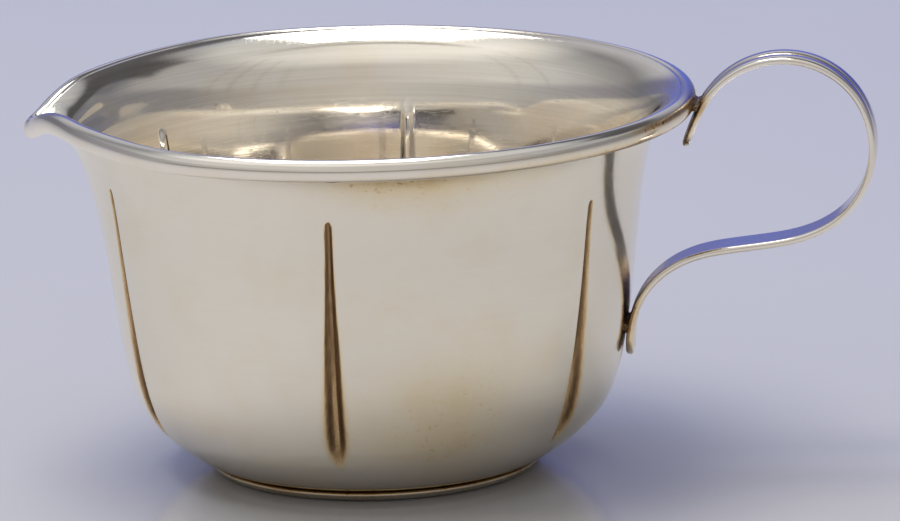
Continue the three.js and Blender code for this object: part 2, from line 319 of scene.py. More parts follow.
def inner_step(t):
    s = np.full_like(t, 1.0)
    s = np.where(t < 25, 1.9, s)
    s = np.where((t > T_AT_Z(39.5)) & (t < T_AT_Z(43.5)), 0.6, s)
    return np.where(t > T_AT_Z(45.0), 0.36, s)


def build_bowl(material):
    t_out = spaced(0, T_END, outer_step)[1:]
    t_in = spaced(0, T_END, inner_step)[1:]
    th = STATIONS
    r, z, er, ez = sheet(th, t_out)
    depth, tone = flute_field(th, r, z)
    ro, zo = r - depth * ez, z + depth * er
    r1, z1, fr, fz = sheet(th, t_in)
    rib, _ = flute_field(th, r1, z1, widen=0.42, floor=0.30, soft=0.16)
    off = WALL + 0.92 * rib
    ri, zi = r1 - off * fz, z1 + off * fr

    # rows from the middle of the underside, over the edge, to the middle of the inside
    rows_r = np.concatenate([ro, ri[:, ::-1]], 1)
    rows_z = np.concatenate([zo, zi[:, ::-1]], 1)
    k = rows_r.shape[1]
    verts = polar(th[:, None], rows_r, rows_z).reshape(-1, 3)
    pole_out = np.array([[AXIS_X, 0, MERIDIAN[0, 1]]])
    pole_in = np.array([[AXIS_X, 0, MERIDIAN[0, 1] + WALL]])
    verts = np.concatenate([verts, pole_out, pole_in])
    n_out, n_in = len(t_out), len(t_in)
    v = np.concatenate([0.505 + 0.49 * t_out / T_END, 0.495 * t_in[::-1] / T_END])
    faces, uvs = ring_faces(N, k, v, closed=False)
    p0, p1 = len(verts) - 2, len(verts) - 1
    for i in range(N):
        j = (i + 1) % N
        u0, u1 = i / N, (i + 1) / N
        faces.append((p0, j * k, i * k))
        uvs += [((u0 + u1) / 2, 0.502), (u1, v[0]), (u0, v[0])]
        faces.append((p1, i * k + k - 1, j * k + k - 1))
        uvs += [((u0 + u1) / 2, 0.0), (u0, v[-1]), (u1, v[-1])]

    # where the metal has gone brown: in the flutes, under the rim, round the foot
    T = np.broadcast_to(th[:, None], r.shape)
    a_deg = lambda c, w: bell(turn(T - c), w)
    stain_and_shade = 0.30 * a_deg(-77.0, 13) * bell(zo - 49.3, 1.7)
    stain_and_shade += 0.14 * a_deg(-74.0, 22) * bell(zo - 47.5, 3.0)
    stain_and_shade += 0.165 * a_deg(-66.0, 14) * bell(zo - 15.5, 6.0)
    stain_and_shade += 0.11 * a_deg(-72.0, 20) * bell(zo - 9.5, 3.2)
    stain_and_shade += 0.22 * a_deg(105.0, 15) * bell(zo - 13.0, 5.5) + 0.20 * a_deg(175, 12) * bell(zo - 20, 6)
    stain_and_shade += 0.26 * a_deg(60.0, 18) * bell(zo - 48.6, 1.8)
    stain_and_shade += 0.85 * a_deg(0.0, 5.2) * bell(zo - 18.6, 4.2)          # heat round the lower seat
    stain_and_shade += 0.30 * smooth(-zo, -3.2, -1.7) * smooth(ro, 17.0, 21.0)  # corner above the foot
    under = smooth(-ro, -18.4, -15.0) * (zo < 3.0)
    stain_and_shade += 0.16 * under
    n_inner = ri.size // N
    zeros = np.zeros((N, n_inner))
    joined = lambda a, b: np.concatenate([np.concatenate([a, b], 1).ravel(), [a[0, 0], b[0, -1]]])
    flute = joined(tone, zeros)
    deep = 0.16 * smooth(-zi[:, ::-1], -9.0, -4.0)
    stain_and_shade = joined(stain_and_shade, deep)
    within = joined(np.zeros_like(zo), np.ones((N, n_inner)))
    return add_piece("bowl_sheet", "bowl", verts, faces, uvs, material,
                     {"flute": flute, "stain_and_shade": stain_and_shade, "within": within})


def closed_section(points, count):
    """A smooth closed curve through the points, with count samples evenly along it."""
    p = np.asarray(points, float)
    n = len(p)
    q = np.concatenate([p[-4:], p, p[:5]])
    t = np.concatenate([[0], np.cumsum(np.sqrt(np.hypot(*np.diff(q, axis=0).T)))])
    fine = spline_weights(t, np.linspace(t[4], t[4 + n], 2001)) @ q
    s = np.concatenate([[0], np.cumsum(np.hypot(*np.diff(fine, axis=0).T))])
    at = np.linspace(0, s[-1], count, endpoint=False)
    return np.stack([np.interp(at, s, fine[:, 0]), np.interp(at, s, fine[:, 1])], 1)


def build_wire(material):
    # half-round wire; its inner side lies along the sheet's edge
    section = closed_section([
        [-1.13, -0.17], [-0.85, -0.055], [-0.55, 0.0], [-0.25, -0.035], [0.05, -0.135], [0.34, -0.29],
        [0.58, -0.52], [0.76, -0.86], [0.87, -1.30], [0.895, -1.62], [0.84, -2.10], [0.63, -2.58],
        [0.28, -2.92], [-0.14, -3.02], [-0.52, -2.95], [-0.75, -2.70], [-0.77, -2.20], [-0.77, -1.60],
        [-0.80, -1.10], [-0.92, -0.70], [-1.06, -0.36],
    ], 44)
    th, k = STATIONS, len(section)
    a = from_lip(th)
    rc, zc = mouth_r(a), RIM_Z - mouth_drop(a)
    r = rc[:, None] + section[None, :, 0]
    z = zc[:, None] + section[None, :, 1]
    verts = polar(th[:, None], r, z).reshape(-1, 3)
    faces, uvs = ring_faces(N, k)
    T = np.broadcast_to(th[:, None], r.shape)
    # the lower half of the wire is made darker all round, most of all at the handle joint
    low = smooth(-section[:, 1], 0.9, 2.6)[None, :]
    stain_and_shade = 0.75 * bell(turn(T), 7.5) * (0.25 + 0.75 * low) + 0.07 * low
    stain_and_shade += 0.16 * bell(turn(T + 35), 22) * low
    # heat tarnish left and right of the handle, with painted light in it: the band under the bright top is a painted
    # dark reflection, and the line along the lower edge is painted shade in the crevice against the sheet
    near = smooth(-np.abs(turn(T)), -37, -22)
    stain_and_shade += 0.80 * near * bell(section[:, 1] + 0.95, 0.42)[None, :]
    stain_and_shade += 0.70 * smooth(-np.abs(turn(T)), -46, -34) * bell(section[:, 1] + 2.85, 0.28)[None, :]
    return add_piece("rim_wire_bead", "rim_wire", verts, faces, uvs, material, {"stain_and_shade": stain_and_shade.ravel()})


def build_rim_seam(material):
    th = STATIONS
    a = from_lip(th)
    r, z = mouth_r(a) - EDGE_IN + 0.03, RIM_Z - mouth_drop(a)
    (rs, zs, *_), run = sheet(th, np.array([T_END - 1.15, T_END])), 9
    r0, z0, r1, z1 = rs[:, 0], zs[:, 0] - 0.02, rs[:, 1], zs[:, 1]
    low = 2.05 + 0.12 * ripple(th, 3)
    pts = [(r, z1 - 0.02), (r, z - low)]
    for f in np.linspace(0, 1, run)[1:]:
        # a hollow fillet from the wire's inner face to the sheet
        p0, p1, p2 = (r, z - low), (r - 0.22, z1 - 0.42), (r0, z0)
        pts.append(tuple((1 - f) ** 2 * p0[i] + 2 * f * (1 - f) * p1[i] + f * f * p2[i] for i in (0, 1)))
    R, Z = np.stack([p[0] for p in pts], 1), np.stack([p[1] for p in pts], 1)
    verts = polar(th[:, None], R, Z).reshape(-1, 3)
    faces, uvs = ring_faces(N, R.shape[1])
    stain_and_shade = np.full(R.shape, 0.55) + 0.25 * ripple(th, 8)[:, None]
    return add_piece("rim_seam_fillet", "rim_solder_seam", verts, faces, uvs, material, {"stain_and_shade": stain_and_shade.ravel()})


def lathe(name, node, section, count, material, stain_and_shade, wobble=0.0, seed=0):
    th = np.linspace(-180, 180, count, endpoint=False)
    R = np.broadcast_to(section[None, :, 0], (count, len(section))) + wobble * ripple(th, seed)[:, None]
    Z = np.broadcast_to(section[None, :, 1], R.shape)
    verts = polar(th[:, None], R, Z).reshape(-1, 3)
    faces, uvs = ring_faces(count, len(section))
    return add_piece(name, node, verts, faces, uvs, material, {"stain_and_shade": stain_and_shade(th[:, None], R, Z).ravel()})


def build_foot(material):
    arc = np.array([[21.0, 0.0], [21.62, 0.07], [22.2, 0.25], [22.62, 0.48], [22.9, 0.75], [23.04, 1.06], [22.93, 1.34]])
    t = np.concatenate([[0], np.cumsum(np.hypot(*np.diff(arc, axis=0).T))])
    outer = spline_weights(t, np.linspace(0, t[-1], 18)) @ arc
    top = np.array([[22.2, 1.40], [20.9, 1.27], [19.7, 1.22]])
    inner = np.array([[19.28, 1.13], [19.04, 0.95], [18.95, 0.70], [18.92, 0.40], [18.98, 0.15], [19.10, 0.04], [19.25, 0.0]])
    flat = np.array([[19.7, 0.0], [20.2, 0.0], [20.6, 0.0]])
    section = np.concatenate([outer, top, inner, flat])
    stain_and_shade = lambda th, r, z: 0.14 + 0.30 * smooth(z, 0.95, 1.35) + 0.08 * ripple(th, 12) + 0.20 * (r < 19.4)
    return lathe("foot_ring_band", "foot_ring", section, 220, material, stain_and_shade)


def build_foot_seam(material):
    f = np.linspace(0, 1, 9)[:, None]
    p0, p1, p2 = np.array([18.93, 0.50]), np.array([18.72, 1.10]), np.array([17.75, 1.36])
    curve = (1 - f) ** 2 * p0 + 2 * f * (1 - f) * p1 + f * f * p2
    section = np.concatenate([curve, [[18.4, 1.37], [19.1, 1.31], [19.15, 0.85]]])
    stain_and_shade = lambda th, r, z: 0.5 + 0.25 * ripple(th, 21) + 0 * r
    return lathe("foot_seam_fillet", "foot_solder_seam", section, 220, material, stain_and_shade, 0.05, 5)


# ---------- the handle ----------
STRAP_T = np.concatenate([[0], np.cumsum(np.hypot(*np.diff(STRAP, axis=0).T))])
_t = np.linspace(0, STRAP_T[-1], 4001)
_p = spline_weights(STRAP_T, _t) @ STRAP
_s = np.concatenate([[0], np.cumsum(np.hypot(*np.diff(_p, axis=0).T))])
STRAP_LENGTH = _s[-1]


def strap_at(s):
    """Point and unit tangent of the strap's centre line at arc length s."""
    t = np.interp(s, _s, _t)
    p = spline_weights(STRAP_T, t) @ STRAP
    lo, hi = np.maximum(t - 0.01, 0), np.minimum(t + 0.01, STRAP_T[-1])
    d = (spline_weights(STRAP_T, hi) - spline_weights(STRAP_T, lo)) @ STRAP
    return p, d / np.hypot(d[:, 0], d[:, 1])[:, None]


def strap_section():
    """Share of the half-width and height of the reeded section, once round."""
    w = np.concatenate([np.linspace(0.935, 0.12, 13), np.linspace(0.09, -0.09, 5), np.linspace(-0.12, -0.935, 13)])
    reed = 0.53 - 0.33 * (1 - np.sqrt(np.maximum(0, 1 - ((np.abs(w) - 0.5) / 0.5) ** 2)))
    # a small radius in the groove
    reed = np.where(np.abs(w) < 0.3, np.maximum(reed, 0.26 + 0.6 * w ** 2), reed)
    top = np.stack([w, reed], 1)
    right = [[-0.972, 0.30], [-0.992, 0.19], [-1.0, 0.05], [-1.0, -0.12], [-0.997, -0.28], [-0.982, -0.40], [-0.952, -0.49], [-0.905, -0.537]]
    under = np.stack([np.linspace(-0.85, 0.85, 15), np.full(15, -0.55)], 1)
    left = [[0.905, -0.537], [0.952, -0.49], [0.982, -0.40], [0.997, -0.28], [1.0, -0.12], [1.0, 0.05], [0.992, 0.19], [0.972, 0.30]]
    return np.concatenate([top, right, under, left])


def build_handle(material):
    section = strap_section()
    k = len(section)
    L = STRAP_LENGTH
    ends = np.array([0.0, 0.01, 0.03, 0.08, 0.15, 0.25, 0.38, 0.55, 0.75, 1.0, 1.3, 1.65, 2.05])
    s = np.concatenate([ends, np.linspace(2.6, L - 2.6, 330), L - ends[::-1]])
    p, t = strap_at(s)
    e = np.clip(np.minimum(s, L - s) / STRAP_TIP, 0, 1)
    half = STRAP_HALF * np.maximum(0.05, np.sqrt(1 - (1 - e) ** 2))
    g = np.clip(np.minimum(s, L - s) / 0.95, 0, 1)
    thick = np.maximum(0.04, np.sqrt(1 - (1 - g) ** 2))
    h = section[None, :, 1] * thick[:, None]
    # the section's width is scaled with the narrowing end, its height only over the last 0.95 mm
    w = section[None, :, 0] * half[:, None]
    x = p[:, None, 0] - t[:, None, 1] * h
    z = p[:, None, 1] + t[:, None, 0] * h
    verts = np.stack([AXIS_X + x, w, z], -1).reshape(-1, 3)
    n = len(s)
    vv = np.concatenate([[0], np.cumsum(np.hypot(np.diff(section[:, 0] * STRAP_HALF), np.diff(section[:, 1])))])
    vv = np.concatenate([vv, [vv[-1] + 0.4]])
    vv /= vv[-1]
    faces, uvs = [], []
    for i in range(n - 1):
        u0, u1 = 0.01 + 0.98 * s[i] / L, 0.01 + 0.98 * s[i + 1] / L
        for j in range(k):
            l = (j + 1) % k
            faces.append((i * k + j, i * k + l, i * k + k + l, i * k + k + j))
            uvs += [(u0, vv[j]), (u0, vv[j + 1]), (u1, vv[j + 1]), (u1, vv[j])]
    c0, c1 = p[0], p[-1]
    verts = np.concatenate([verts, [[AXIS_X + c0[0], 0, c0[1]], [AXIS_X + c1[0], 0, c1[1]]]])
    for j in range(k):
        l = (j + 1) % k
        faces.append((n * k, l, j))
        uvs += [(0.0, (vv[j] + vv[j + 1]) / 2), (0.01, vv[j + 1]), (0.01, vv[j])]
        faces.append((n * k + 1, (n - 1) * k + j, (n - 1) * k + l))
        uvs += [(1.0, (vv[j] + vv[j + 1]) / 2), (0.99, vv[j]), (0.99, vv[j + 1])]
    S = np.broadcast_to(s[:, None], (n, k))
    H = np.broadcast_to(section[None, :, 1], (n, k))
    Wd = np.abs(np.broadcast_to(section[None, :, 0], (n, k)))
    s_up = s[np.argmin(np.abs(p[:, 1] - 51.0) + 100 * (s > L / 4))]
    s_dn = L - 4.8
    stain_and_shade = 0.95 * bell(S - s_up, 1.7) * np.where(H > 0.1, 1.0, 0.40)
    stain_and_shade += 0.95 * smooth(-(S - s_up), -1.0, 2.0) * smooth(H, -0.10, 0.20)   # the free end beyond the wire: painted shade on its faces, dark towards the wire
    stain_and_shade += 0.80 * bell(S - s_dn, 3.4) * np.where(H < 0, 1.0, 0.25) + 0.12 * bell(S - s_dn, 5.0)
    stain_and_shade += 0.78 * smooth(S, L - 16.0, L - 8.5) * (H < -0.4)          # painted shade on the face towards the wall, put there so that the wall mirrors a dark band
    stain_and_shade += 0.42 * bell(Wd, 0.085) * (H > 0)                     # the groove between the reeds
    stain_and_shade = np.concatenate([stain_and_shade.ravel(), [0.12, 0.2]])
    return add_piece("handle_strap", "handle", verts, faces, uvs, material, {"stain_and_shade": stain_and_shade})


def build_pad(name, node, side_a, side_b, z_mid, z_half, y_half, material, seed):
    """Solder drawn into the joint between two faces, hollow above and below, thin at its ends."""
    ys = np.sin(np.linspace(-0.5, 0.5, 31) * math.pi) * y_half
    v = np.linspace(0, 1, 9)
    rows = []
    for i, y in enumerate(ys):
        k = max(0.10, math.sqrt(max(0.0, 1 - (y / y_half) ** 2)) ** 0.7)
        k *= 1 + 0.10 * math.sin(2.1 * y + seed) + 0.06 * math.sin(4.7 * y + 2 * seed)
        hollow = 0.42 * np.sin(math.pi * v)
        top = z_mid + z_half * k * (1 - hollow)
        bot = z_mid - z_half * k * (1 - hollow)
        ring = [(side_a(y, zz) * (1 - q) + side_b(y, zz) * q, zz) for q, zz in zip(v, top)]
        ring += [(side_b(y, zz), zz) for zz in np.linspace(top[-1], bot[-1], 6)[1:-1]]
        ring += [(side_a(y, zz) * (1 - q) + side_b(y, zz) * q, zz) for q, zz in zip(v[::-1], bot[::-1])]
        ring += [(side_a(y, zz), zz) for zz in np.linspace(bot[0], top[0], 6)[1:-1]]
        rows.append([(AXIS_X + u, y, zz) for u, zz in ring])
    k = len(rows[0])
    verts = np.array(rows).reshape(-1, 3)
    n = len(ys)
    faces, uvs = [], []
    for i in range(n - 1):
        u0, u1 = 0.02 + 0.96 * i / (n - 1), 0.02 + 0.96 * (i + 1) / (n - 1)
        for j in range(k):
            l = (j + 1) % k
            faces.append((i * k + j, i * k + k + j, i * k + k + l, i * k + l))
            uvs += [(u0, j / k), (u1, j / k), (u1, (j + 1) / k), (u0, (j + 1) / k)]
    ends = np.stack([verts[:k].mean(0), verts[-k:].mean(0)])
    base = len(verts)
    verts = np.concatenate([verts, ends])
    for j in range(k):
        l = (j + 1) % k
        faces.append((base, j, l))
        uvs += [(0.0, (j + 0.5) / k), (0.02, j / k), (0.02, (j + 1) / k)]
        faces.append((base + 1, (n - 1) * k + l, (n - 1) * k + j))
        uvs += [(1.0, (j + 0.5) / k), (0.98, (j + 1) / k), (0.98, j / k)]
    grain = np.random.default_rng(seed)
    stain_and_shade = np.clip(0.97 + 0.14 * grain.standard_normal(len(verts)), 0.3, 1)
    return add_piece(name, node, verts, faces, uvs, material, {"stain_and_shade": stain_and_shade})


_wire_z = np.array([-3.0, -2.75, -2.2, -1.5, -0.95, -0.35, 0.0]) + RIM_Z
_wire_u = np.array([0.10, 0.50, 0.80, 0.90, 0.85, 0.55, 0.0]) + MOUTH_R[-1]


def wire_face(y, z):
    return math.sqrt(np.interp(z, _wire_z, _wire_u) ** 2 - y * y) - 0.10


_up_s = np.linspace(0, 16, 321)
_up_p, _up_t = strap_at(_up_s)
_dn_s = np.linspace(STRAP_LENGTH - 14, STRAP_LENGTH, 281)
_dn_p, _dn_t = strap_at(_dn_s)


def strap_top_face(y, z):
    h = 0.36
    u, zz = _up_p[:, 0] - _up_t[:, 1] * h, _up_p[:, 1] + _up_t[:, 0] * h
    return float(np.interp(z, zz, u))


def strap_flat_face(y, z):
    h = -0.47
    u, zz = _dn_p[:, 0] - _dn_t[:, 1] * h, _dn_p[:, 1] + _dn_t[:, 0] * h
    order = np.argsort(zz)
    return float(np.interp(z, zz[order], u[order]))


def wall_face(y, z):
    r = np.interp(z, MERIDIAN[6:, 1], MERIDIAN[6:, 0]) + BELLY
    return math.sqrt(r * r - y * y) - 0.10


# ---------- materials ----------
class Net:
    """Short calls for building one node tree."""

    def __init__(self, tree):
        self.tree = tree
        tree.nodes.clear()

    def node(self, kind, **props):
        n = self.tree.nodes.new(kind)
        for key, value in props.items():
            setattr(n, key, value)
        return n

    def put(self, socket, value):
        if isinstance(value, bpy.types.NodeSocket):
            self.tree.links.new(value, socket)
        else:
            socket.default_value = value

    def math(self, op, a, b=0.0, c=0.0, clamp=False):
        n = self.node("ShaderNodeMath", operation=op, use_clamp=clamp)
        for i, x in enumerate((a, b, c)):
            self.put(n.inputs[i], x)
        return n.outputs[0]

    def vmath(self, op, a, b=(0, 0, 0)):
        n = self.node("ShaderNodeVectorMath", operation=op)
        self.put(n.inputs[0], a)
        self.put(n.inputs[1], b)
        return n.outputs["Value"] if op == "DOT_PRODUCT" else n.outputs["Vector"]

    def span(self, x, a, b, lo=0.0, hi=1.0, kind="SMOOTHSTEP"):
        n = self.node("ShaderNodeMapRange", interpolation_type=kind)
        for i, v in enumerate((x, a, b, lo, hi)):
            self.put(n.inputs[i], v)
        return n.outputs["Result"]

    def mix(self, fac, a, b, blend="MIX"):
        n = self.node("ShaderNodeMix", data_type="RGBA", blend_type=blend)
        self.put(n.inputs["Factor"], fac)
        self.put(n.inputs["A"] if False else n.inputs[6], a)
        self.put(n.inputs[7], b)
        return n.outputs[2]

    def ramp(self, fac, stops, kind="LINEAR"):
        n = self.node("ShaderNodeValToRGB")
        n.color_ramp.interpolation = kind
        e = n.color_ramp.elements
        while len(e) < len(stops):
            e.new(0.5)
        for item, (pos, col) in zip(e, stops):
            item.position = pos
            item.color = (*col, 1)
        self.put(n.inputs["Fac"], fac)
        return n.outputs["Color"]

    def attr(self, name):
        return self.node("ShaderNodeAttribute", attribute_name=name).outputs["Fac"]

    def noise(self, vec, scale, detail=3.0, rough=0.55, distortion=0.0):
        n = self.node("ShaderNodeTexNoise")
        self.put(n.inputs["Vector"], vec)
        for key, v in (("Scale", scale), ("Detail", detail), ("Roughness", rough), ("Distortion", distortion)):
            n.inputs[key].default_value = v
        return n.outputs["Fac"]

    def place(self, vec, scale=(1, 1, 1), turn=(0, 0, 0), shift=(0, 0, 0)):
        n = self.node("ShaderNodeMapping")
        self.put(n.inputs["Vector"], vec)
        n.inputs["Location"].default_value = shift
        n.inputs["Rotation"].default_value = turn
        n.inputs["Scale"].default_value = scale
        return n.outputs["Vector"]


def new_material(name):
    m = bpy.data.materials.new(name)
    m.use_nodes = True
    net = Net(m.node_tree)
    out = net.node("ShaderNodeOutputMaterial")
    bsdf = net.node("ShaderNodeBsdfPrincipled")
    net.tree.links.new(bsdf.outputs[0], out.inputs[0])
    return m, net, bsdf


def hairlines(net, vec, scale, turn, thin, shift=(0, 0, 0)):
    """Thin scratches in one main direction: 1 on a line, 0 between."""
    n = net.noise(net.place(vec, scale, turn, shift), 1.0, 2.0, 0.5)
    return net.span(net.math("ABSOLUTE", net.math("SUBTRACT", n, 0.5)), 0.0, thin, 1.0, 0.0)


SILVER = (0.94, 0.885, 0.80, 1)


def tarnish_ramp(net, amount):
    return net.ramp(amount, [
        (0.00, (1.00, 1.00, 1.00)), (0.22, (0.95, 0.85, 0.66)), (0.45, (0.72, 0.54, 0.33)),
        (0.70, (0.36, 0.245, 0.145)), (1.00, (0.13, 0.092, 0.068)),
    ])


def silver_material(name, base=SILVER, rough=0.10, brush=0.0, soil=0.0, bowl=False):
    m, net, bsdf = new_material(name)
    co = net.node("ShaderNodeTexCoord").outputs["Object"]
    stain_and_shade = net.attr("stain_and_shade")
    # blotches and fine specks in the thin film of tarnish
    cloud = net.noise(co, 120.0, 4.0, 0.6)
    speck = net.noise(co, 1900.0, 3.0, 0.6)
    film = net.math("MULTIPLY", net.span(cloud, 0.40, 0.78), 0.06 + soil)
    spotty = net.math("ADD", net.math("MULTIPLY", cloud, 0.9), net.math("MULTIPLY", speck, 0.5))
    dots = net.span(net.noise(co, 1300.0, 2.0, 0.5), 0.60, 0.72)
    spotty = net.math("ADD", spotty, net.math("MULTIPLY", dots, 0.9))
    amount = net.math("ADD", net.math("MULTIPLY", stain_and_shade, net.math("ADD", spotty, 0.20)), film)
    if bowl:
        flute, within = net.attr("flute"), net.attr("within")
        streak = net.noise(net.place(co, (2600, 2600, 300)), 1.0, 3.0, 0.6)
        # pale edges of the tarnish break up into streaks, its dark parts hardly
        grain = net.math("MULTIPLY", net.math("SUBTRACT", streak, 0.5), net.span(flute, 0.0, 0.95, 1.5, 0.30, "LINEAR"))
        dark = net.math("MULTIPLY", flute, net.math("ADD", 1.0, grain))
        amount = net.math("MAXIMUM", amount, dark)
    amount = net.math("MINIMUM", net.math("MAXIMUM", amount, 0.0), 1.0)
    tint = tarnish_ramp(net, amount)
    if bowl:
        # the outside is handled and duller; the inside keeps the lines of the buff
        base = net.mix(within, (0.89, 0.835, 0.735, 1), base)
        rounds = net.noise(net.place(co, (24, 24, 2600)), 1.0, 4.0, 0.7)
        share = net.math("ADD", net.math("MULTIPLY", within, 0.26), 0.05)
        ring = net.math("ADD", 1.0, net.math("MULTIPLY", net.math("SUBTRACT", rounds, 0.56), share))
        base = net.mix(1.0, base, net.math("MINIMUM", ring, 1.04), "MULTIPLY")
    colour = net.mix(1.0, base, tint, "MULTIPLY")
    net.put(bsdf.inputs["Base Color"], colour)
    bsdf.inputs["Metallic"].default_value = 1.0
    # wipe marks: crossing hairlines, and lines round the bowl where it was turned against the buff
    h1 = hairlines(net, co, (260, 260, 2600), (0.35, 0.1, 0.0), 0.012)
    h2 = hairlines(net, co, (2400, 330, 500), (0.0, 0.5, 0.7), 0.010, (3, 1, 2))
    h3 = hairlines(net, co, (300, 2500, 420), (0.6, 0.0, -0.4), 0.010, (7, 5, 1))
    lines = net.math("ADD", net.math("ADD", h1, h2), h3)
    plain = net.span(within, 0.0, 1.0, rough, 0.030, "LINEAR") if bowl else rough
    rough_value = net.math("ADD", plain, net.math("MULTIPLY", cloud, 0.03))
    rough_value = net.math("ADD", rough_value, net.math("MULTIPLY", lines, 0.05))
    rough_value = net.math("ADD", rough_value, net.math("MULTIPLY", amount, 0.30))
    height = net.math("MULTIPLY", lines, -0.25)
    if brush:
        rounds = net.noise(net.place(co, (30, 30, 3400)), 1.0, 4.0, 0.7)
        part = net.math("MULTIPLY", rounds, brush)
        if bowl:
            part = net.math("MULTIPLY", part, net.math("ADD", net.math("MULTIPLY", within, 0.85), 0.15))
        height = net.math("ADD", height, part)
    net.put(bsdf.inputs["Roughness"], net.math("MINIMUM", rough_value, 0.8))
    bump = net.node("ShaderNodeBump")
    bump.inputs["Strength"].default_value = 0.25
    bump.inputs["Distance"].default_value = 0.00001
    net.put(bump.inputs["Height"], height)
    net.put(bsdf.inputs["Normal"], bump.outputs["Normal"])
    return m


def solder_material(name):
    m, net, bsdf = new_material(name)
    co = net.node("ShaderNodeTexCoord").outputs["Object"]
    stain_and_shade = net.attr("stain_and_shade")
    cloud = net.noise(co, 900.0, 4.0, 0.6)
    amount = net.math("ADD", net.math("MULTIPLY", stain_and_shade, 0.9), net.math("MULTIPLY", net.math("SUBTRACT", cloud, 0.5), 0.8), clamp=True)
    tint = tarnish_ramp(net, amount)
    net.put(bsdf.inputs["Base Color"], net.mix(1.0, (0.62, 0.57, 0.51, 1), tint, "MULTIPLY"))
    bsdf.inputs["Metallic"].default_value = 1.0
    net.put(bsdf.inputs["Roughness"], net.span(cloud, 0.2, 0.8, 0.26, 0.50, "LINEAR"))
    bump = net.node("ShaderNodeBump")
    bump.inputs["Strength"].default_value = 0.5
    bump.inputs["Distance"].default_value = 0.00008
    net.put(bump.inputs["Height"], cloud)
    net.put(bsdf.inputs["Normal"], bump.outputs["Normal"])
    return m


bowl_mat = silver_material("silver_bowl", rough=0.085, brush=0.5, bowl=True)
wire_mat = silver_material("silver_rim_wire", (0.94, 0.895, 0.83, 1), 0.06)
# the foot's dark base colour is painted shade: it stands in for the shaded floor that the foot mirrors; its soil film
# is tarnish
foot_shade_mat = silver_material("silver_foot", (0.62, 0.585, 0.545, 1), 0.18, soil=0.06)
strap_mat = silver_material("silver_handle", (0.93, 0.88, 0.81, 1), 0.07)
solder_mat = solder_material("tarnished_solder")

build_bowl(bowl_mat)
build_wire(wire_mat)
build_rim_seam(solder_mat)
build_foot(foot_shade_mat)
build_foot_seam(solder_mat)
build_handle(strap_mat)
build_pad("handle_upper_fillet", "handle_upper_solder", wire_face, strap_top_face, 51.0, 1.03, 3.35, solder_mat, 2)
build_pad("handle_lower_fillet", "handle_lower_solder", wall_face, strap_flat_face, 20.0, 1.75, 3.30, solder_mat, 5)


# ---------- floor ----------
def build_floor():
    me = bpy.data.meshes.new("floor")
    s = 7.0
    me.from_pydata([(-s, -s, 0), (s, -s, 0), (s, s, 0), (-s, s, 0)], [], [(0, 1, 2, 3)])
    o = bpy.data.objects.new("floor", me)
    bpy.context.scene.collection.objects.link(o)
    m, net, bsdf = new_material("pale_floor")
    co = net.node("ShaderNodeTexCoord").outputs["Object"]
    cloud = net.noise(co, 9.0, 3.0, 0.5)
    net.put(bsdf.inputs["Base Color"], net.mix(net.span(cloud, 0.3, 0.7), (0.495, 0.50, 0.53, 1), (0.505, 0.51, 0.54, 1)))
    bsdf.inputs["Roughness"].default_value = 0.16
    bsdf.inputs["IOR"].default_value = 1.45
    me.materials.append(m)


build_floor()


# ---------- light ----------
WALLS = [
    (-180, 0.545, 0.52, 0.50), (-150, 0.615, 0.595, 0.58), (-120, 0.63, 0.62, 0.605), (-90, 0.55, 0.55, 0.55),
    (-62, 0.35, 0.355, 0.37), (-40, 0.235, 0.24, 0.26), (-20, 0.45, 0.455, 0.49), (0, 0.52, 0.53, 0.62),
    (20, 0.36, 0.37, 0.43), (40, 0.16, 0.165, 0.20), (60, 0.165, 0.17, 0.195),
    (69, 0.34, 0.335, 0.345), (82, 0.39, 0.39, 0.395), (105, 0.42, 0.42, 0.43), (140, 0.49, 0.475, 0.46), (180, 0.545, 0.52, 0.50),
]
SKIRT = [
    (-180, 0.555, 0.53, 0.505), (-120, 0.45, 0.445, 0.44), (-90, 0.345, 0.345, 0.355), (-60, 0.27, 0.265, 0.30),
    (-36, 0.16, 0.165, 0.19), (-16, 0.18, 0.18, 0.30), (4, 0.13, 0.17, 0.58), (24, 0.065, 0.075, 0.36), (33, 0.135, 0.138, 0.26),
    (44, 0.18, 0.18, 0.25), (70, 0.22, 0.22, 0.235), (100, 0.26, 0.255, 0.26),
    (140, 0.44, 0.42, 0.39), (180, 0.555, 0.53, 0.505),
]
TOP = [
    (-180, 0.86, 0.845, 0.80), (-90, 0.97, 0.965, 0.95), (0, 0.60, 0.62, 0.625), (90, 0.61, 0.61, 0.605), (180, 0.86, 0.845, 0.80),
]


